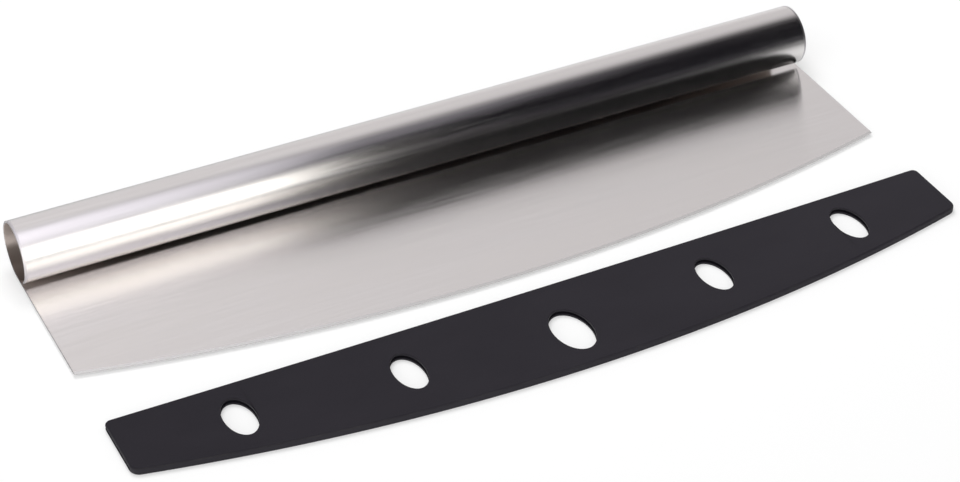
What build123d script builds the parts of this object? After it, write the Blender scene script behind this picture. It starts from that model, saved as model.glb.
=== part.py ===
from build123d import *
from math import cos, radians, sin, sqrt
import os

# A rocking pizza knife lying flat, with its edge guard taken off and laid in front of it.
# +X runs along the handle, +Y from the cutting edge to the handle, and +Z is up.
# The origin is on the table, in the middle of the box round the knife and its guard.
# All lengths are in millimetres and all angles in degrees.

# The knife: one steel sheet, flat for the blade and rolled up at the back into a tube, the handle
knife_length = 355.0
sheet_thickness = 0.8
handle_diameter = 25.4
handle_roll_angle = 324.0
blade_corner_depth = 65.5
blade_centre_depth = 86.0
bevel_width = 1.2
edge_land = 0.3

# The guard: a flat moulded sheath as long as the knife, open along its back edge and at both ends
guard_end_depth = 29.4
guard_back_dip = 1.1
guard_wall = 0.95
guard_spine = 2.5
guard_front_corner_radius = 4.0
guard_back_corner_radius = 2.5
guard_rim_radius = 0.8
guard_gap = 11.8

# The windows through the guard: a large one set low in the middle, smaller ones on each side
windows_each_side = 2
window_pitch = 66.1
window_width = 12.4
window_depth = 21.4
middle_window_width = 15.8
middle_window_back_margin = 15.7
middle_window_front_margin = 7.9
window_rim_radius = 0.3

# Clearances of the guard on the blade
slot_clearance = 0.25
seat_clearance = 0.3

# How far a cut runs past the face that it goes through
overrun = 2.0


def sagitta(radius, half_chord):
    """Height of an arc over a chord of twice this half."""
    return radius - sqrt(radius**2 - half_chord**2)


# The cutting edge is one arc over the whole length of the knife
half_length = knife_length / 2
edge_bow = blade_centre_depth - blade_corner_depth
edge_radius = (half_length**2 + edge_bow**2) / (2 * edge_bow)

# The slot's floor and the guard's front edge follow that arc once the guard is on
slot_floor_radius = edge_radius + seat_clearance
guard_front_radius = slot_floor_radius + guard_spine
guard_front_bow = sagitta(guard_front_radius, half_length)
guard_centre_depth = guard_end_depth + guard_front_bow - guard_back_dip
slot_height = sheet_thickness + 2 * slot_clearance
guard_thickness = slot_height + 2 * guard_wall

# Heights: the guard lies on the table, and the blade is level with the slot in the guard
blade_underside = guard_wall + slot_clearance
blade_top = blade_underside + sheet_thickness
handle_radius = handle_diameter / 2
handle_bore_radius = handle_radius - sheet_thickness
handle_z = blade_underside + handle_radius

# Places from back to front
whole_depth = handle_radius + blade_centre_depth + guard_gap + guard_centre_depth
handle_y = whole_depth / 2 - handle_radius
blade_corner_y = handle_y - blade_corner_depth
edge_y = handle_y - blade_centre_depth
guard_back_y = edge_y - guard_gap
guard_back_corner_y = guard_back_y + guard_back_dip
guard_front_y = guard_back_y - guard_centre_depth
guard_front_corner_y = guard_front_y + guard_front_bow
slot_floor_y = guard_front_y + guard_spine

# How far the guard slides back until it is seated on the blade
guard_travel = edge_y - seat_clearance - slot_floor_y
print("guard travel", round(guard_travel, 3))


def on_roll(radius, angle):
    """Point of the rolled handle's section, with the angle counted from right under its axis."""
    turn = radians(angle - 90)
    return handle_y + radius * cos(turn), handle_z + radius * sin(turn)


def guard_middle_y(x):
    """Middle between the guard's back and front edges, at a place along its length."""
    back_y = guard_back_y + guard_back_dip * (x / half_length) ** 2
    front_y = guard_front_y + sagitta(guard_front_radius, x)
    return (back_y + front_y) / 2


os.makedirs("parts", exist_ok=True)

# The knife is drawn as its section across the handle, and pulled out to its full length
with BuildPart() as sheet_knife:
    with BuildSketch(Plane.YZ.offset(-half_length)):
        with BuildLine():
            lip_outside = on_roll(handle_radius, handle_roll_angle)
            lip_inside = on_roll(handle_bore_radius, handle_roll_angle)
            Line((edge_y, blade_underside), (handle_y, blade_underside))
            CenterArc((handle_y, handle_z), handle_radius, -90, handle_roll_angle)
            Line(lip_outside, lip_inside)
            CenterArc((handle_y, handle_z), handle_bore_radius, -90, handle_roll_angle)
            Line((handle_y, blade_top), (edge_y, blade_top))
            Line((edge_y, blade_top), (edge_y, blade_underside))
        make_face()
    extrude(amount=knife_length)

    # Seen from above, the ends are straight and the front is bowed
    with BuildSketch(Plane.XY.offset(blade_underside - overrun)):
        with BuildLine():
            past_handle_y = handle_y + handle_diameter
            Polyline(
                (-half_length, blade_corner_y),
                (-half_length, past_handle_y),
                (half_length, past_handle_y),
                (half_length, blade_corner_y),
            )
            ThreePointArc((half_length, blade_corner_y), (0, edge_y), (-half_length, blade_corner_y))
        make_face()
    extrude(amount=handle_diameter + 2 * overrun, mode=Mode.INTERSECT)

    # The cutting edge is ground from both sides down to a narrow land
    grind_depth = (sheet_thickness - edge_land) / 2
    for side in (0, -1):
        blade_face = sheet_knife.faces().filter_by(Axis.Z).sort_by(Axis.Z)[side]
        cutting_edge = blade_face.edges().filter_by(GeomType.CIRCLE).sort_by(SortBy.LENGTH)[-1]
        chamfer(cutting_edge, length=bevel_width, length2=grind_depth, reference=blade_face)
sheet_knife.part.label = "sheet_knife"
export_step(sheet_knife.part, "parts/sheet_knife.step")

# The guard is a flat bowed bar, with windows through it and a slot for the blade
with BuildPart() as edge_guard:
    with BuildSketch():
        with BuildLine():
            Line((-half_length, guard_front_corner_y), (-half_length, guard_back_corner_y))
            ThreePointArc(
                (-half_length, guard_back_corner_y), (0, guard_back_y), (half_length, guard_back_corner_y)
            )
            Line((half_length, guard_back_corner_y), (half_length, guard_front_corner_y))
            ThreePointArc(
                (half_length, guard_front_corner_y), (0, guard_front_y), (-half_length, guard_front_corner_y)
            )
        make_face()
    extrude(amount=guard_thickness)
    upright_edges = edge_guard.edges().filter_by(Axis.Z).group_by(Axis.Y)
    fillet(upright_edges[-1], radius=guard_back_corner_radius)
    upright_edges = edge_guard.edges().filter_by(Axis.Z).group_by(Axis.Y)
    fillet(upright_edges[0], radius=guard_front_corner_radius)
    flat_faces = edge_guard.faces().filter_by(Axis.Z)
    fillet(flat_faces.edges(), radius=guard_rim_radius)

    # Windows, with the outer ones in the middle of the guard's depth
    with BuildSketch(Plane.XY.offset(guard_thickness)):
        middle_window_back_y = guard_back_y - middle_window_back_margin
        middle_window_front_y = guard_front_y + middle_window_front_margin
        middle_window_depth = middle_window_back_y - middle_window_front_y
        with Locations((0, (middle_window_back_y + middle_window_front_y) / 2)):
            Ellipse(middle_window_width / 2, middle_window_depth / 2)
        for place in range(1, windows_each_side + 1):
            window_x = place * window_pitch
            window_y = guard_middle_y(window_x)
            with Locations((-window_x, window_y), (window_x, window_y)):
                Ellipse(window_width / 2, window_depth / 2)
    extrude(amount=-guard_thickness, mode=Mode.SUBTRACT)
    window_rims = edge_guard.faces().filter_by(Axis.Z).edges().filter_by(GeomType.ELLIPSE)
    fillet(window_rims, radius=window_rim_radius)

    # The slot is as long as the guard, and its floor fits the cutting edge
    slot_end_x = half_length + overrun
    slot_end_y = slot_floor_y + sagitta(slot_floor_radius, slot_end_x)
    slot_mouth_y = guard_back_corner_y + overrun
    with BuildSketch(Plane.XY.offset(guard_wall)):
        with BuildLine():
            Polyline(
                (-slot_end_x, slot_end_y),
                (-slot_end_x, slot_mouth_y),
                (slot_end_x, slot_mouth_y),
                (slot_end_x, slot_end_y),
            )
            ThreePointArc((slot_end_x, slot_end_y), (0, slot_floor_y), (-slot_end_x, slot_end_y))
        make_face()
    extrude(amount=slot_height, mode=Mode.SUBTRACT)
edge_guard.part.label = "edge_guard"
export_step(edge_guard.part, "parts/edge_guard.step")
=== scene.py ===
from math import asin, cos, radians, sin, sqrt

import bmesh
import bpy
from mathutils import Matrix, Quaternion, Vector


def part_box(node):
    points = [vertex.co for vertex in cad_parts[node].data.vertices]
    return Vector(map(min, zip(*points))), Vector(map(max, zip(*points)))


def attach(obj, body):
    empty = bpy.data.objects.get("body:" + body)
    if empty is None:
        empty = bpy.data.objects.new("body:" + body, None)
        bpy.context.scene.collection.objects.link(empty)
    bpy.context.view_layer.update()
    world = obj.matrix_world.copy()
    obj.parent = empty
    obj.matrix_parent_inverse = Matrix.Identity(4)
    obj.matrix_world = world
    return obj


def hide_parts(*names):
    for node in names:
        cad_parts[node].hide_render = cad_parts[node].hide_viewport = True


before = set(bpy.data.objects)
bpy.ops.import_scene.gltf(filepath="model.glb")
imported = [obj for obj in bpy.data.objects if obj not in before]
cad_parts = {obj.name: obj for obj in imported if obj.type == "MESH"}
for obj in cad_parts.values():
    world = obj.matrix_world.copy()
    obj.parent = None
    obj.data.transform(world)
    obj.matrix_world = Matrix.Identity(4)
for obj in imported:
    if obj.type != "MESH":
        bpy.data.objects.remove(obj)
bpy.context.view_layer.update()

MM = 0.001

# The knife: its solid's box, with the sizes that a box can't give
knife_low, knife_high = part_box("sheet_knife")
SHEET = 0.8 * MM
BLADE_CORNER_DEPTH = 65.5 * MM
BEVEL_WIDTH = 1.2 * MM
EDGE_LAND = 0.3 * MM
ROLL_TURN = radians(324.0)
EDGE_BREAK = 0.1 * MM
HALF_LENGTH = knife_high.x
HANDLE_RADIUS = (knife_high.z - knife_low.z) / 2
HANDLE_Y = knife_high.y - HANDLE_RADIUS
HANDLE_Z = knife_high.z - HANDLE_RADIUS
BLADE_UNDER = knife_low.z
BLADE_TOP = BLADE_UNDER + SHEET
EDGE_Y = knife_low.y

# The guard, the same way
guard_low, guard_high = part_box("edge_guard")
GUARD_THICKNESS = guard_high.z
GUARD_WALL = 0.95 * MM
GUARD_SPINE = 2.5 * MM
SEAT_CLEARANCE = 0.3 * MM
GUARD_BACK_DIP = 1.1 * MM
GUARD_RIM = 0.8 * MM
FRONT_CORNER = 4.0 * MM
BACK_CORNER = 2.5 * MM
GUARD_FRONT_Y = guard_low.y
GUARD_END_DEPTH = 29.4 * MM
WINDOW_RIM = 0.3 * MM
SIDE_WINDOWS = (-2, -1, 1, 2)
WINDOW_PITCH = 66.1 * MM
WINDOW_SIZE = (12.4 * MM, 21.4 * MM)
MIDDLE_WINDOW_WIDTH = 15.8 * MM
MIDDLE_WINDOW_MARGINS = (7.9 * MM, 15.7 * MM)

# How finely round shapes are divided
EDGE_SIDES = 1536
GUARD_SIDES = 700
WINDOW_SIDES = 64
ROLL_STEPS = 162
EDGE_BREAK_STEPS = 2
CORNER_STEPS = 8
RIM_STEPS = 6
WINDOW_RIM_STEPS = 3

# Lines across the blade, counted from the handle's axis, that keep its faces short near the roll
BLADE_LINES = (3 * MM, 30 * MM, 60 * MM)

# The angles at which edges are broken, and above which they are shaded as sharp
BROKEN_ABOVE = radians(80)
KNIFE_SHARP_ABOVE = radians(8)
GUARD_SHARP_ABOVE = radians(35)

# How far a shape is drawn past the ends that it is cut off at
BLADE_OVERHANG = 12 * MM
SLOT_OVERHANG = 4 * MM

# How near a point counts as lying on a line or a face
ON_SHEET = 0.001 * MM
ON_GUARD = 0.01 * MM
ON_EDGE = 0.2 * MM
ON_WINDOW = 0.02
# A face is upright if its normal rises by less than this
UPRIGHT = 0.5


def sagitta(radius, half_chord):
    """Height of an arc over a chord of twice this half."""
    return radius - sqrt(radius**2 - half_chord**2)


EDGE_BOW = HANDLE_Y - BLADE_CORNER_DEPTH - EDGE_Y
EDGE_RADIUS = (HALF_LENGTH**2 + EDGE_BOW**2) / (2 * EDGE_BOW)
SLOT_RADIUS = EDGE_RADIUS + SEAT_CLEARANCE
GUARD_FRONT_RADIUS = SLOT_RADIUS + GUARD_SPINE
GUARD_FRONT_CORNER_Y = GUARD_FRONT_Y + sagitta(GUARD_FRONT_RADIUS, HALF_LENGTH)
GUARD_BACK_CORNER_Y = GUARD_FRONT_CORNER_Y + GUARD_END_DEPTH
GUARD_BACK_Y = GUARD_BACK_CORNER_Y - GUARD_BACK_DIP


# ---------------------------------------------------------------- edit mode helpers
def pick(piece, kind, test):
    """Selects the vertices or edges that pass a test, and nothing else."""
    bpy.ops.mesh.select_mode(type={"verts": "VERT", "edges": "EDGE"}[kind])
    bpy.ops.mesh.select_all(action="DESELECT")
    mesh = bmesh.from_edit_mesh(piece.data)
    for item in getattr(mesh, kind):
        if test(item):
            item.select_set(True)
    mesh.select_flush_mode()
    bmesh.update_edit_mesh(piece.data)


def start(name):
    """Names the primitive just added, puts its place in its mesh and opens it."""
    piece = bpy.context.object
    piece.name = name
    piece.data.name = name
    bpy.ops.object.transform_apply(location=True, rotation=True, scale=True)
    bpy.ops.object.mode_set(mode="EDIT")
    return piece


def pull_out():
    """Doubles all the lines of an open piece, and leaves the new ones selected to be moved."""
    bpy.ops.mesh.select_mode(type="EDGE")
    bpy.ops.mesh.select_all(action="SELECT")
    bpy.ops.mesh.extrude_region_move()


def lift(height):
    """Moves the whole piece up."""
    bpy.ops.mesh.select_all(action="SELECT")
    bpy.ops.transform.translate(value=(0, 0, height))


def finish_modifier(piece, kind, **settings):
    """Adds a modifier, sets it and applies it."""
    modifier = piece.modifiers.new(kind.title(), kind)
    for key, value in settings.items():
        setattr(modifier, key, value)
    bpy.ops.object.modifier_apply(modifier=modifier.name)


def cut_ends(half_width):
    """Cuts a piece off at both ends."""
    for side in (-1, 1):
        bpy.ops.mesh.select_all(action="SELECT")
        bpy.ops.mesh.bisect(
            plane_co=(side * half_width, 0, 0), plane_no=(side, 0, 0), clear_outer=True
        )


def bowed_wire(name, radius, front_y, half_width, sides):
    """A wire along the front of a bowed shape: the part of a circle between its two ends."""
    bpy.ops.object.select_all(action="DESELECT")
    bpy.ops.mesh.primitive_circle_add(
        vertices=sides, radius=radius, fill_type="NOTHING", location=(0, front_y + radius, 0)
    )
    piece = start(name)
    cut_ends(half_width)
    pick(piece, "verts", lambda v: v.co.y > front_y + radius / 2)
    bpy.ops.mesh.delete(type="VERT")
    return piece


def make_knife():
    """The sheet's outer skin, bowed in front and rolled up behind, then given its thickness."""
    half_width = HALF_LENGTH + BLADE_OVERHANG
    piece = bowed_wire("rolled_blade", EDGE_RADIUS, EDGE_Y, half_width, EDGE_SIDES)
    centre = (0, EDGE_Y + EDGE_RADIUS, 0)
    # the ground strip along the cutting edge
    shrink = (EDGE_RADIUS - BEVEL_WIDTH) / EDGE_RADIUS
    pull_out()
    bpy.ops.transform.resize(value=(shrink, shrink, 1), center_override=centre)
    # the blade, back to the line where the roll begins
    bpy.ops.mesh.extrude_region_move()
    bpy.ops.transform.resize(value=(1, 0, 1), center_override=(0, HANDLE_Y, 0))
    lift(BLADE_UNDER)
    for depth in BLADE_LINES:
        bpy.ops.mesh.select_all(action="SELECT")
        bpy.ops.mesh.bisect(plane_co=(0, HANDLE_Y - depth, 0), plane_no=(0, 1, 0))
    pick(piece, "edges", lambda e: all(abs(v.co.y - HANDLE_Y) < ON_SHEET for v in e.verts))
    bpy.ops.mesh.spin(
        steps=ROLL_STEPS, angle=ROLL_TURN, center=(0, HANDLE_Y, HANDLE_Z), axis=(-1, 0, 0)
    )
    bpy.ops.mesh.select_all(action="SELECT")
    bpy.ops.mesh.remove_doubles(threshold=ON_SHEET)
    cut_ends(HALF_LENGTH)
    bpy.ops.mesh.select_all(action="SELECT")
    bpy.ops.mesh.normals_make_consistent(inside=False)
    # the skin's faces look down and outwards
    mesh = bmesh.from_edit_mesh(piece.data)
    mesh.faces.ensure_lookup_table()
    blade_face = min(mesh.faces, key=lambda f: f.calc_center_median().y)
    if blade_face.normal.z > 0:
        bpy.ops.mesh.flip_normals()
    bpy.ops.object.mode_set(mode="OBJECT")
    finish_modifier(
        piece, "SOLIDIFY", thickness=SHEET, offset=-1.0, use_even_offset=True, use_rim=True
    )
    # grind both sides of the cutting edge down to its land
    bpy.ops.object.mode_set(mode="EDIT")
    grind = (SHEET - EDGE_LAND) / 2

    def on_edge(v):
        reach = sqrt(v.co.x**2 + (v.co.y - EDGE_Y - EDGE_RADIUS) ** 2)
        return v.co.y < HANDLE_Y - HANDLE_RADIUS and abs(reach - EDGE_RADIUS) < ON_EDGE

    for level, move in ((BLADE_TOP, -grind), (BLADE_UNDER, grind)):
        pick(piece, "verts", lambda v: on_edge(v) and abs(v.co.z - level) < ON_SHEET)
        bpy.ops.transform.translate(value=(0, 0, move))
    bpy.ops.object.mode_set(mode="OBJECT")
    finish_modifier(
        piece,
        "BEVEL",
        width=EDGE_BREAK,
        segments=EDGE_BREAK_STEPS,
        limit_method="ANGLE",
        angle_limit=BROKEN_ABOVE,
    )
    bpy.ops.object.shade_smooth_by_angle(angle=KNIFE_SHARP_ABOVE)
    return piece


def guard_plan():
    """A flat strip between a bowed front and a slightly hollow back."""
    piece = bowed_wire("blade_guard", GUARD_FRONT_RADIUS, GUARD_FRONT_Y, HALF_LENGTH, GUARD_SIDES)
    share = GUARD_BACK_DIP / (GUARD_FRONT_CORNER_Y - GUARD_FRONT_Y)
    fixed_y = (GUARD_BACK_Y - share * GUARD_FRONT_Y) / (1 - share)
    pull_out()
    bpy.ops.transform.resize(value=(1, share, 1), center_override=(0, fixed_y, 0))
    return piece


def thicken(piece, height):
    """Pulls a flat strip up into a closed bar, and turns its faces outwards."""
    bpy.ops.mesh.select_mode(type="FACE")
    bpy.ops.mesh.select_all(action="SELECT")
    bpy.ops.mesh.extrude_region_move(TRANSFORM_OT_translate={"value": (0, 0, height)})
    bpy.ops.mesh.select_all(action="SELECT")
    bpy.ops.mesh.normals_make_consistent(inside=False)


def cut(piece, cutter):
    """Takes the cutter out of the piece and throws the cutter away."""
    bpy.ops.object.mode_set(mode="OBJECT")
    bpy.ops.object.select_all(action="DESELECT")
    bpy.context.view_layer.objects.active = piece
    piece.select_set(True)
    finish_modifier(piece, "BOOLEAN", operation="DIFFERENCE", solver="EXACT", object=cutter)
    bpy.data.objects.remove(cutter)


def make_guard():
    """The sheath: a bowed bar with round corners and rims, five windows, and a slot."""
    piece = guard_plan()
    thicken(piece, GUARD_THICKNESS)

    def corner(e, y):
        a, b = e.verts
        upright = abs(a.co.z - b.co.z) > ON_GUARD
        at_end = abs(abs(a.co.x) - HALF_LENGTH) < ON_GUARD
        return upright and at_end and abs(a.co.y - y) < ON_GUARD

    for y, radius, slope in (
        (GUARD_BACK_CORNER_Y, BACK_CORNER, 0.0),
        (GUARD_FRONT_CORNER_Y, FRONT_CORNER, asin(HALF_LENGTH / GUARD_FRONT_RADIUS)),
    ):
        pick(piece, "edges", lambda e: corner(e, y))
        offset = radius * (cos(slope) / (1 + sin(slope)))
        bpy.ops.mesh.bevel(offset=offset, segments=CORNER_STEPS)

    # the outer rims, above and below, are where a flat face meets an upright one
    pick(piece, "edges", lambda e: {round(abs(f.normal.z)) for f in e.link_faces} == {0, 1})
    bpy.ops.mesh.bevel(offset=GUARD_RIM, segments=RIM_STEPS)
    bpy.ops.object.mode_set(mode="OBJECT")

    # the windows: each is a cylinder one across, stretched to the window's size
    low = GUARD_FRONT_Y + MIDDLE_WINDOW_MARGINS[0]
    high = GUARD_BACK_Y - MIDDLE_WINDOW_MARGINS[1]
    windows = [(0.0, (low + high) / 2, MIDDLE_WINDOW_WIDTH, high - low)]
    for place in SIDE_WINDOWS:
        x = place * WINDOW_PITCH
        back = GUARD_BACK_Y + GUARD_BACK_DIP * (x / HALF_LENGTH) ** 2
        front = GUARD_FRONT_Y + sagitta(GUARD_FRONT_RADIUS, x)
        windows.append((x, (back + front) / 2, *WINDOW_SIZE))
    for x, y, width, depth in windows:
        bpy.ops.object.select_all(action="DESELECT")
        bpy.ops.mesh.primitive_cylinder_add(
            vertices=WINDOW_SIDES,
            radius=0.5,
            depth=3 * GUARD_THICKNESS,
            location=(x, y, GUARD_THICKNESS / 2),
        )
        cutter = bpy.context.object
        cutter.scale = (width, depth, 1)
        bpy.ops.object.transform_apply(location=True, rotation=True, scale=True)
        cut(piece, cutter)

    bpy.ops.object.mode_set(mode="EDIT")
    levels = (0.0, GUARD_THICKNESS)

    def on_window(v):
        return any(
            abs(((v.co.x - x) / (width / 2)) ** 2 + ((v.co.y - y) / (depth / 2)) ** 2 - 1)
            < ON_WINDOW
            for x, y, width, depth in windows
        )

    def on_window_rim(e):
        level = any(all(abs(v.co.z - z) < ON_GUARD for v in e.verts) for z in levels)
        upright = any(abs(f.normal.z) < UPRIGHT for f in e.link_faces)
        return level and upright and all(on_window(v) for v in e.verts)

    pick(piece, "edges", on_window_rim)
    bpy.ops.mesh.bevel(offset=WINDOW_RIM, segments=WINDOW_RIM_STEPS)

    # the slot, from its bowed floor to behind the guard
    slot_floor_y = GUARD_FRONT_Y + GUARD_SPINE
    slot_mouth = (0, GUARD_BACK_CORNER_Y + SLOT_OVERHANG, 0)
    half_width = HALF_LENGTH + SLOT_OVERHANG
    bpy.ops.object.mode_set(mode="OBJECT")
    cutter = bowed_wire("slot_cutter", SLOT_RADIUS, slot_floor_y, half_width, GUARD_SIDES)
    pull_out()
    bpy.ops.transform.resize(value=(1, 0, 1), center_override=slot_mouth)
    lift(GUARD_WALL)
    thicken(cutter, GUARD_THICKNESS - 2 * GUARD_WALL)
    cut(piece, cutter)
    bpy.ops.object.shade_smooth_by_angle(angle=GUARD_SHARP_ABOVE)
    finish_modifier(piece, "WEIGHTED_NORMAL", mode="FACE_AREA", weight=100, keep_sharp=True)
    return piece


# ---------------------------------------------------------------- materials
# A ramp's four numbers are where it starts and ends, and its levels there.
# A noise's three are its scale, its detail and how far it is stretched along the handle.

# The steel's grain, and the spans of noise that are spread from nothing to full
HAIRLINES = (1300.0, 3.0, 60.0)
STREAKS = (700.0, 2.0, 25.0)
STEEL_CLOUDS = (28.0, 2.0, 2.0)
NOISE_ROUGHNESS = 0.6
WIDE = (0.25, 0.75)
MIDDLE = (0.3, 0.7)
NARROW = (0.35, 0.65)
CLOUD_SHARE = 0.35
HAIRLINE_DEPTH = 0.004 * MM
HAIRLINE_STRENGTH = 0.25

# Where the steel is cut, rolled, ground, or rubbed at the ends of the roll
CUT_FACING = (0.5, 0.8, 0.0, 1.0)
INSIDE_BLUR = 0.1 * MM
GROUND_BLUR = 0.05 * MM
OFF_BLADE = (0.2 * MM, 0.4 * MM)
ROLL_END = (1.1 * MM, 0.7 * MM)
ROLL_END_REFLECTION_SHARE = 0.7
GROUND_SHADE_SHARE = 0.8

# Its tones; the roll ends' lilac is a painted reflection, and the ground strip's and cut ends'
# darker tones are partly painted shade
STEEL_DARKER = (0.725, 0.705, 0.70)
STEEL_LIGHTER = (0.755, 0.737, 0.733)
CLOUD_TONE = (0.74, 0.715, 0.70)
ROLL_END_REFLECTION_TONE = (0.56, 0.545, 0.57)
INSIDE_TONE = (0.66, 0.575, 0.53)
GROUND_SHADE_TONE = (0.58, 0.57, 0.57)
CUT_SHADE_TONE = (0.40, 0.385, 0.39)

# Its shine
STEEL_ROUGHNESS = 0.17
STREAK_ROUGHNESS = 0.02
HAIRLINE_ROUGHNESS = 0.012
ROLL_END_ROUGHNESS = 0.3
INSIDE_ROUGHNESS = 0.55
GROUND_ROUGHNESS = 0.24
CUT_ROUGHNESS = 0.42
GROUND_METAL = 0.5
BRUSHED = 0.98
INSIDE_TURN = 0.25

# The plastic: a fine grain, with clouds and scuffs that hardly show; the scuffed rims are lighter,
# partly as a painted highlight
GRAIN = (2200.0, 3.0, 1.0)
PLASTIC_CLOUDS = (45.0, 3.0, 2.0)
SCUFFS = (420.0, 4.0, 3.0)
SCUFFED = (0.4, 0.65, 0.2, 1.0)
RIM_FROM_SIDE = (0.1, 0.4, 0.0, 1.0)
RIM_FROM_TOP = (0.85, 0.97, 1.0, 0.0)
RUBBED_HIGHLIGHT_SHARE = 0.5
GRAIN_DEPTH = 0.03 * MM
GRAIN_STRENGTH = 0.35
PLASTIC_DARKER = (0.0145, 0.0126, 0.0183)
PLASTIC_LIGHTER = (0.0175, 0.0153, 0.0215)
GRAIN_TONE = (0.0165, 0.0148, 0.0185)
RUBBED_HIGHLIGHT_TONE = (0.030, 0.028, 0.030)
PLASTIC_ROUGHNESS = (0.62, 0.52)
RUBBED_SMOOTHER = 0.08
PLASTIC_IOR = 1.45
PLASTIC_SPECULAR = 0.27


def new_material(name):
    material = bpy.data.materials.new(name)
    material.use_nodes = True
    material.node_tree.nodes.clear()
    return material, material.node_tree


def add(tree, kind, inputs=None, **settings):
    """One node with its settings, and its values or the sockets that feed it."""
    node = tree.nodes.new("ShaderNode" + kind)
    for key, value in settings.items():
        setattr(node, key, value)
    for key, value in (inputs or {}).items():
        if isinstance(value, bpy.types.NodeSocket):
            tree.links.new(value, node.inputs[key])
        else:
            node.inputs[key].default_value = value
    return node


def math(tree, kind, a, b=0.0):
    return add(tree, "Math", {0: a, 1: b}, operation=kind).outputs[0]


def times(tree, first, *others):
    """Some numbers multiplied."""
    for other in others:
        first = math(tree, "MULTIPLY", first, other)
    return first


def greater(tree, a, b):
    """The greater of two numbers."""
    return math(tree, "MAXIMUM", a, b)


def left_over(tree, share):
    """One less a share."""
    return math(tree, "SUBTRACT", 1.0, share)


def parts_of(tree, vector):
    """A vector's three numbers."""
    return add(tree, "SeparateXYZ", {0: vector}).outputs


def ramp(tree, source, start, end, low, high):
    """A soft step from low to high while the source goes from start to end."""
    return add(
        tree,
        "MapRange",
        {"Value": source, "From Min": start, "From Max": end, "To Min": low, "To Max": high},
        interpolation_type="SMOOTHSTEP",
    ).outputs["Result"]


def between(tree, share, low, high):
    """A number between two others, by its share."""
    return add(tree, "MapRange", {"Value": share, "To Min": low, "To Max": high}).outputs["Result"]


def noise(tree, place, scale, detail, stretch):
    """Noise around one half, stretched along the handle."""
    moved = add(tree, "Mapping", {"Vector": place, "Scale": (1 / stretch, 1.0, 1.0)}).outputs[0]
    return add(
        tree,
        "TexNoise",
        {"Vector": moved, "Scale": scale, "Detail": detail, "Roughness": NOISE_ROUGHNESS},
        noise_dimensions="3D",
    ).outputs["Fac"]


def blend(tree, share, low, high):
    """Mixes two colours."""
    node = add(tree, "Mix", data_type="RGBA")
    for socket, value in zip((node.inputs[0], node.inputs[6], node.inputs[7]), (share, low, high)):
        if isinstance(value, bpy.types.NodeSocket):
            tree.links.new(value, socket)
        else:
            socket.default_value = value if isinstance(value, float) else (*value, 1.0)
    return node.outputs[2]


def reach_from(tree, centre, **place):
    """Distance from a centre, in the plane of the two coordinates given."""
    flat = add(tree, "CombineXYZ", place).outputs[0]
    return add(tree, "VectorMath", {0: flat, 1: centre}, operation="DISTANCE").outputs["Value"]


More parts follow.
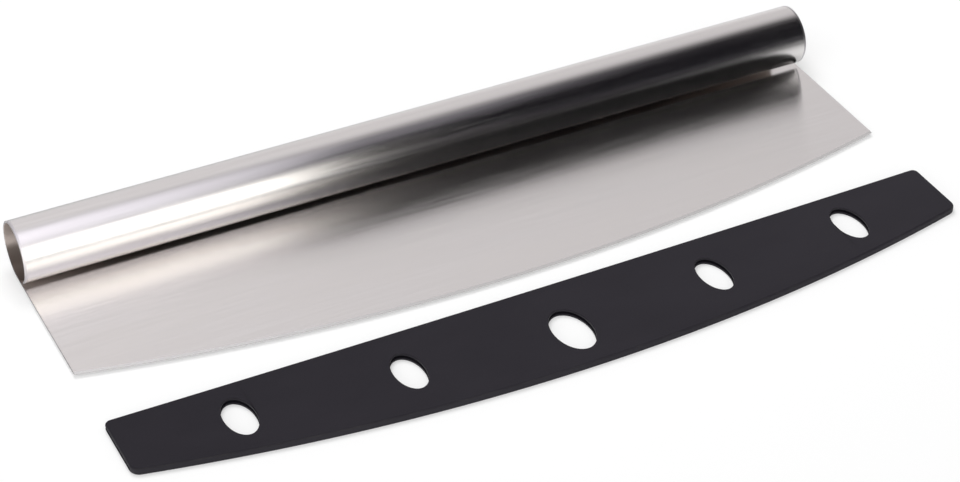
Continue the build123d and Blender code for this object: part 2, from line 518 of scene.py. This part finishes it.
def satin_steel():
    """Stainless sheet with its grain along the handle, duller in the roll and where it is cut,
    with painted shade on its cut ends and the cutting edge's bevel and a painted reflection at the
    roll's ends.
    """
    material, tree = new_material("satin_steel")
    spot = add(tree, "TexCoord").outputs
    place = spot["Object"]
    x, y, z = parts_of(tree, place)
    facing = math(tree, "ABSOLUTE", parts_of(tree, spot["Normal"])["X"])

    # where the sheet is cut, at both ends: rougher, and darker as painted shade
    cut_end_and_shade = ramp(tree, facing, *CUT_FACING)
    # inside the roll
    wall = HANDLE_RADIUS - SHEET / 2
    reach = reach_from(tree, (0.0, HANDLE_Y, HANDLE_Z), Y=y, Z=z)
    inside = ramp(tree, reach, wall - INSIDE_BLUR, wall + INSIDE_BLUR, 1.0, 0.0)
    # the ground strip along the cutting edge: rougher and half matte, and darker as painted shade
    strip = EDGE_RADIUS - BEVEL_WIDTH
    reach = reach_from(tree, (0.0, EDGE_Y + EDGE_RADIUS, 0.0), X=x, Y=y)
    ground_and_shade = ramp(tree, reach, strip - GROUND_BLUR, strip + GROUND_BLUR, 0.0, 1.0)
    # the last millimetre of the roll, rubbed dull where its edge was broken; its darker lilac tone
    # is a painted reflection
    on_roll = ramp(tree, z, BLADE_TOP + OFF_BLADE[0], BLADE_TOP + OFF_BLADE[1], 0.0, 1.0)
    along = math(tree, "ABSOLUTE", x)
    at_end = ramp(tree, along, HALF_LENGTH - ROLL_END[0], HALF_LENGTH - ROLL_END[1], 0.0, 1.0)
    roll_end_and_reflection = times(tree, at_end, on_roll)

    hairline = noise(tree, place, *HAIRLINES)
    streak = noise(tree, place, *STREAKS)
    cloud = noise(tree, place, *STEEL_CLOUDS)

    tone = blend(tree, ramp(tree, streak, *MIDDLE, 0.0, 1.0), STEEL_DARKER, STEEL_LIGHTER)
    tone = blend(tree, ramp(tree, cloud, *NARROW, 0.0, CLOUD_SHARE), tone, CLOUD_TONE)
    # the roll's ends take a painted reflection
    tone = blend(tree, times(tree, roll_end_and_reflection, ROLL_END_REFLECTION_SHARE), tone, ROLL_END_REFLECTION_TONE)
    tone = blend(tree, inside, tone, INSIDE_TONE)
    # the ground strip takes painted shade
    tone = blend(tree, times(tree, ground_and_shade, GROUND_SHADE_SHARE), tone, GROUND_SHADE_TONE)
    # the cut ends take painted shade
    tone = blend(tree, cut_end_and_shade, tone, CUT_SHADE_TONE)

    smoothest, roughest = STEEL_ROUGHNESS - STREAK_ROUGHNESS, STEEL_ROUGHNESS + STREAK_ROUGHNESS
    lines = ramp(tree, hairline, *MIDDLE, -HAIRLINE_ROUGHNESS, HAIRLINE_ROUGHNESS)
    rough = math(tree, "ADD", ramp(tree, streak, *WIDE, smoothest, roughest), lines)
    for share, roughness in (
        (roll_end_and_reflection, ROLL_END_ROUGHNESS),
        (inside, INSIDE_ROUGHNESS),
        (ground_and_shade, GROUND_ROUGHNESS),
        (cut_end_and_shade, CUT_ROUGHNESS),
    ):
        rough = between(tree, share, rough, roughness)

    bump = {"Strength": HAIRLINE_STRENGTH, "Distance": HAIRLINE_DEPTH, "Height": hairline}
    shine = {
        "Base Color": tone,
        "Metallic": between(tree, ground_and_shade, 1.0, GROUND_METAL),
        "Roughness": rough,
        "Anisotropic": BRUSHED,
        "Anisotropic Rotation": between(tree, inside, 0.0, INSIDE_TURN),
        "Tangent": add(tree, "Tangent", direction_type="RADIAL", axis="X").outputs[0],
        "Normal": add(tree, "Bump", bump).outputs[0],
    }
    add(tree, "OutputMaterial", {"Surface": add(tree, "BsdfPrincipled", shine).outputs[0]})
    return material


def black_plastic():
    """Charcoal moulding with a fine spark grain, worn a little along its rims, where a lighter
    tone is partly wear and partly a painted highlight.
    """
    material, tree = new_material("black_plastic")
    spot = add(tree, "TexCoord").outputs
    place = spot["Object"]
    up = math(tree, "ABSOLUTE", parts_of(tree, spot["Normal"])["Z"])
    rim = times(tree, ramp(tree, up, *RIM_FROM_SIDE), ramp(tree, up, *RIM_FROM_TOP))

    grain = noise(tree, place, *GRAIN)
    cloud = noise(tree, place, *PLASTIC_CLOUDS)
    rubbed_and_highlight = times(tree, rim, ramp(tree, noise(tree, place, *SCUFFS), *SCUFFED))

    tone = blend(tree, ramp(tree, cloud, *MIDDLE, 0.0, 1.0), PLASTIC_DARKER, PLASTIC_LIGHTER)
    tone = blend(tree, ramp(tree, grain, *NARROW, 0.0, CLOUD_SHARE), tone, GRAIN_TONE)
    # the scuffed rims are lighter: partly wear, partly a painted highlight
    tone = blend(tree, times(tree, rubbed_and_highlight, RUBBED_HIGHLIGHT_SHARE), tone, RUBBED_HIGHLIGHT_TONE)

    rough = ramp(tree, grain, *MIDDLE, *PLASTIC_ROUGHNESS)
    rough = math(tree, "SUBTRACT", rough, times(tree, rubbed_and_highlight, RUBBED_SMOOTHER))
    bump = {"Strength": GRAIN_STRENGTH, "Distance": GRAIN_DEPTH, "Height": grain}
    shine = {
        "Base Color": tone,
        "Roughness": rough,
        "IOR": PLASTIC_IOR,
        "Specular IOR Level": PLASTIC_SPECULAR,
        "Normal": add(tree, "Bump", bump).outputs[0],
    }
    add(tree, "OutputMaterial", {"Surface": add(tree, "BsdfPrincipled", shine).outputs[0]})
    return material


knife = make_knife()
guard = make_guard()
for piece, body, node, finish, slot in (
    (knife, "knife", "sheet_knife", satin_steel(), "satin_steel"),
    (guard, "guard", "edge_guard", black_plastic(), "black_plastic"),
):
    piece.data.materials.clear()
    piece.data.materials.append(finish)
    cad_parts[node].data.materials.clear()
    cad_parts[node].data.materials.append(finish)
    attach(piece, body)
    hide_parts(node)


# ---------------------------------------------------------------- floor, light and camera
# The white table. Glow is light of its own, so that open paper shows as white.
TABLE_SIZE = 8.0
FLOOR_WHITE = 0.8
FLOOR_DARK = 0.006
FLOOR_GLOW = 0.2
PAPER_SHARE = 0.75
PAPER_GLOW = 0.36

# A dark patch of the table, painted shade that only the steel's reflections show: slanted, in
# front and on the right.
# Back from the guard's front it ends a little beyond the knife's right end.
SLANT = 0.35
PATCH_RIGHT = (-0.06, 0.02, 0.0, 1.0)
PATCH_AHEAD = (0.05, -0.05, 0.0, 1.0)
PATCH_BEFORE_END = (0.32, 0.22, 0.0, 1.0)
PATCH_PAST_GUARD = (-0.18, -0.3, 0.0, 1.0)
PATCH_OFF_RIM = (0.01, 0.03, 0.0, 1.0)
# Behind the handle the table shows greyer and glows less in the steel's reflections: painted shade
GREY_BEHIND = (0.06, 0.12, 0.0, 1.0)
GREY_ALONG = (0.25, -0.15, 0.12, 0.32)
DIM_BEHIND = (0.0, 0.1, 0.0, 1.0)
DIM_ALONG = (0.2, -0.2, 0.0, 0.7)
# In front on the left it glows brighter in the steel's reflections, as painted light, and
# brightest past the handle's open end
BRIGHT_AHEAD = (-0.02, -0.12, 0.0, 1.8)
BRIGHT_LEFT = (-0.02, -0.12, 0.0, 1.0)
BRIGHT_PAST_END = (-0.183, -0.195, 0.0, 7.0)

# Above these counts a ray has been mirrored at least once, or at least twice
ONCE = 0.5
TWICE = 1.5

# The wall of light behind. For the room, x, y and z are the parts of a direction.
WALL_ALONG = (0.15, 0.52, 0.87, 0.78)
WALL_DEPTH = (-0.04, 0.50, 0.0, 1.0)
WALL_HEIGHT = (0.40, 0.56, 0.95, 1.0)
FOOT_HEIGHT = (0.35, 0.0, 0.0, 1.0)
FOOT_ALONG = (0.25, 0.5, 0.0, 0.2)
FOOT_DEPTH = (0.2, 0.5, 0.0, 1.0)
WALL_TINT = (1.02, 0.99, 0.995)
# The card to the left of the camera: brighter and warmer low down, cooler above
CARD_DEPTH = (0.44, 0.05, 0.0, 1.0)
CARD_EDGE = (0.33, 0.29, 0.0, 1.0)
CARD_SPLIT = (0.58, 0.70, 0.0, 1.0)
CARD_LOW_LEVEL = 2.4
CARD_HIGH_ALONG = (0.15, 0.36, 1.2, 0.40)
CARD_HIGH_HEIGHT = (0.70, 0.92, 0.8, 1.1)
CARD_LOW_TINT = (1.02, 1.0, 0.95)
CARD_HIGH_TINT = (1.0, 0.98, 1.04)
# A faint light above, more to the left
ABOVE_HEIGHT = (0.76, 0.96, 0.0, 1.0)
ABOVE_ALONG = (0.48, 0.34, 0.0, 0.21)
ABOVE_DEPTH = (0.25, 0.0, 0.0, 1.0)
ABOVE_TINT = (1.0, 0.96, 1.08)
# The room's right side in front, which only the views from behind mirror
RIGHT_ALONG = (0.53, 0.66, 0.0, 0.34)
RIGHT_DEPTH = (0.2, -0.1, 0.0, 1.0)
RIGHT_TINT = (1.0, 0.98, 0.99)
# A low light all round, and what is left in the dark
LOW_HEIGHT = (0.5, 0.1, 0.0, 0.03)
LOW_TINT = (1.0, 0.95, 1.08)
DARK_LEVEL = 0.007
DARK_TINT = (1.0, 0.92, 1.25)
# How much of the room is kept: little on the left, more again at its end and in front
LOST_TWICE = (0.285, 0.325, 0.0, 0.97)
LEFT_ROOM = (-0.05, 0.12, 0.04, 1.0)
LEFT_END_ALONG = (-0.35, -0.6, 0.0, 0.5)
LEFT_END_DEPTH = (0.0, 0.3, 0.0, 1.0)
LEFT_FRONT_ALONG = (-0.2, -0.35, 0.0, 0.12)
LEFT_FRONT_DEPTH = (-0.3, -0.55, 0.0, 1.0)
# The even light on all that isn't mirrored
EVEN_DEPTH = (0.3, -0.3, 0.35, 1.15)
EVEN_ALONG = (0.1, 0.25, 1.34, 0.36)
SHUT_ALONG = (0.1, 0.3, 0.0, 1.0)
SHUT_DEPTH = (0.2, 0.0, 0.0, 1.0)

# A wide soft lamp above and behind
LAMP_SIZE = 0.7
LAMP_WATTS = 9.0
LAMP_PLACE = (-0.02, 0.55, 1.3)

# The camera, fitted to the outlines in the photograph
CAMERA_AZIMUTH = radians(-27.28)
CAMERA_ELEVATION = radians(37.035)
CAMERA_ROLL = radians(0.483)
CAMERA_DISTANCE = 991.49 * MM
CAMERA_TARGET = (-4.38 * MM, 9.52 * MM, 0.0)
CAMERA_SENSOR = 36.0
CAMERA_LENS = 93.14
CAMERA_CLIP = 0.05


def white_floor():
    """A white table that keeps the shadows; in the steel's reflections it shows painted shade in
    front on the right and behind, and painted light on the left.
    """
    bpy.ops.object.select_all(action="DESELECT")
    bpy.ops.mesh.primitive_plane_add(size=TABLE_SIZE, location=(0, 0, 0))
    floor = bpy.context.object
    floor.name = "white_table"
    material, tree = new_material("white_table")
    x, y, _ = parts_of(tree, add(tree, "TexCoord").outputs["Object"])
    path = add(tree, "LightPath").outputs
    mirrored = path["Is Glossy Ray"]
    slanted = math(tree, "ADD", x, times(tree, y, SLANT))

    # the painted shade patch, which has no end for what is mirrored twice
    patch = greater(tree, ramp(tree, x, *PATCH_BEFORE_END), ramp(tree, y, *PATCH_PAST_GUARD))
    patch = greater(tree, patch, math(tree, "GREATER_THAN", path["Glossy Depth"], TWICE))
    side = times(tree, ramp(tree, slanted, *PATCH_RIGHT), ramp(tree, y, *PATCH_AHEAD))
    # right under the guard's front the paper stays white
    dark = times(tree, side, patch, ramp(tree, path["Ray Length"], *PATCH_OFF_RIM))

    # behind the handle the steel's reflections show a greyer table: painted shade
    grey_shade = times(tree, ramp(tree, y, *GREY_BEHIND), ramp(tree, x, *GREY_ALONG))
    unlit = times(tree, greater(tree, dark, grey_shade), mirrored)
    white = between(tree, path["Is Camera Ray"], FLOOR_WHITE, FLOOR_WHITE * PAPER_SHARE)
    paper = add(tree, "BsdfDiffuse", {"Color": white}).outputs[0]
    shade = add(tree, "BsdfDiffuse", {"Color": (FLOOR_DARK, FLOOR_DARK, FLOOR_DARK, 1)}).outputs[0]
    table = add(tree, "MixShader", {0: unlit, 1: paper, 2: shade}).outputs[0]

    # the table's glow in the steel's reflections: dimmed behind the handle as painted shade,
    # raised in front on the left and past the handle's end as painted light
    dim = times(tree, ramp(tree, y, *DIM_BEHIND), ramp(tree, x, *DIM_ALONG))
    bright = times(tree, ramp(tree, y, *BRIGHT_AHEAD), ramp(tree, slanted, *BRIGHT_LEFT))
    bright = greater(tree, bright, ramp(tree, x, *BRIGHT_PAST_END))
    shiny = greater(tree, mirrored, path["Is Transmission Ray"])
    shiny = times(tree, shiny, left_over(tree, dark), left_over(tree, dim))
    shiny = math(tree, "ADD", shiny, times(tree, bright, mirrored))
    seen = times(tree, path["Is Camera Ray"], PAPER_GLOW)
    level = greater(tree, seen, times(tree, shiny, FLOOR_GLOW))
    glow = add(tree, "Emission", {"Strength": level}).outputs[0]
    both = add(tree, "AddShader", {0: table, 1: glow}).outputs[0]
    add(tree, "OutputMaterial", {"Surface": both})
    floor.data.materials.append(material)


def tinted(tree, level, tint):
    """A light level with its tint."""
    return add(tree, "VectorMath", {0: tint, "Scale": level}, operation="SCALE").outputs[0]


def background(tree, colour, strength):
    return add(tree, "Background", {"Color": colour, "Strength": strength}).outputs[0]


def studio():
    """Light room behind, dark room in front, and a bright card to the left of the camera."""
    world = bpy.data.worlds.new("studio")
    bpy.context.scene.world = world
    world.use_nodes = True
    tree = world.node_tree
    tree.nodes.clear()
    x, y, z = parts_of(tree, add(tree, "TexCoord").outputs["Generated"])
    path = add(tree, "LightPath").outputs

    def light(*ramps):
        """The product of ramps, each along one part of the direction."""
        return times(tree, *(ramp(tree, source, *numbers) for source, numbers in ramps))

    wall = light((x, WALL_ALONG), (y, WALL_DEPTH), (z, WALL_HEIGHT))
    foot = light((z, FOOT_HEIGHT), (x, FOOT_ALONG), (y, FOOT_DEPTH))
    card = light((y, CARD_DEPTH), (x, CARD_EDGE))
    split = ramp(tree, z, *CARD_SPLIT)
    card_high = light((x, CARD_HIGH_ALONG), (z, CARD_HIGH_HEIGHT))
    colour = None
    for level, tint in (
        (light((x, RIGHT_ALONG), (y, RIGHT_DEPTH)), RIGHT_TINT),
        (times(tree, math(tree, "ADD", wall, foot), left_over(tree, card)), WALL_TINT),
        (times(tree, card, left_over(tree, split), CARD_LOW_LEVEL), CARD_LOW_TINT),
        (times(tree, card, split, card_high), CARD_HIGH_TINT),
        (light((z, ABOVE_HEIGHT), (x, ABOVE_ALONG), (y, ABOVE_DEPTH)), ABOVE_TINT),
        (ramp(tree, z, *LOW_HEIGHT), LOW_TINT),
        (DARK_LEVEL, DARK_TINT),
    ):
        part = tinted(tree, level, tint)
        if colour is None:
            colour = part
        else:
            colour = add(tree, "VectorMath", {0: colour, 1: part}, operation="ADD").outputs[0]

    # between the roll and the blade the steel shadows itself, mostly on the right
    twice = math(tree, "GREATER_THAN", path["Glossy Depth"], TWICE)
    lost = times(tree, twice, ramp(tree, x, *LOST_TWICE))
    left_end = light((x, LEFT_END_ALONG), (y, LEFT_END_DEPTH))
    left_front = light((x, LEFT_FRONT_ALONG), (y, LEFT_FRONT_DEPTH))
    left_room = greater(tree, ramp(tree, x, *LEFT_ROOM), greater(tree, left_end, left_front))
    room = background(tree, colour, times(tree, left_over(tree, lost), left_room))

    # what isn't mirrored is lit evenly, more from the front and the left,
    # and the steel that the steel mirrors isn't lit from the front on the right
    once = math(tree, "GREATER_THAN", path["Glossy Depth"], ONCE)
    shut = times(tree, once, light((x, SHUT_ALONG), (y, SHUT_DEPTH)))
    evenly = times(tree, light((y, EVEN_DEPTH), (x, EVEN_ALONG)), left_over(tree, shut))
    even = background(tree, (1, 1, 1, 1), evenly)
    lit = add(tree, "MixShader", {0: path["Is Glossy Ray"], 1: even, 2: room}).outputs[0]

    # the camera, and what is seen through something, get a plain white
    shown = greater(tree, path["Is Camera Ray"], path["Is Transmission Ray"])
    white = background(tree, (1, 1, 1, 1), 1.0)
    mix = add(tree, "MixShader", {0: shown, 1: lit, 2: white}).outputs[0]
    add(tree, "OutputWorld", {"Surface": mix})

    # the lamp is kept out of the reflections
    lamp = bpy.data.lights.new("soft_lamp", "AREA")
    lamp.size = LAMP_SIZE
    lamp.energy = LAMP_WATTS
    holder = bpy.data.objects.new("soft_lamp", lamp)
    bpy.context.scene.collection.objects.link(holder)
    holder.location = LAMP_PLACE
    holder.rotation_mode = "QUATERNION"
    holder.rotation_quaternion = holder.location.to_track_quat("Z", "Y")
    holder.visible_glossy = False


def camera():
    """The camera at the photograph's viewing angle."""
    back = Vector(
        (
            sin(CAMERA_AZIMUTH) * cos(CAMERA_ELEVATION),
            -cos(CAMERA_AZIMUTH) * cos(CAMERA_ELEVATION),
            sin(CAMERA_ELEVATION),
        )
    )
    data = bpy.data.cameras.new("camera")
    data.sensor_width = CAMERA_SENSOR
    data.lens = CAMERA_LENS
    data.clip_start = CAMERA_CLIP
    eye = bpy.data.objects.new("camera", data)
    bpy.context.scene.collection.objects.link(eye)
    eye.location = Vector(CAMERA_TARGET) + back * CAMERA_DISTANCE
    eye.rotation_mode = "QUATERNION"
    roll = Quaternion((0, 0, 1), CAMERA_ROLL)
    eye.rotation_quaternion = (-back).to_track_quat("-Z", "Y") @ roll
    bpy.context.scene.camera = eye


white_floor()
studio()
camera()
bpy.context.scene.view_settings.view_transform = "Standard"
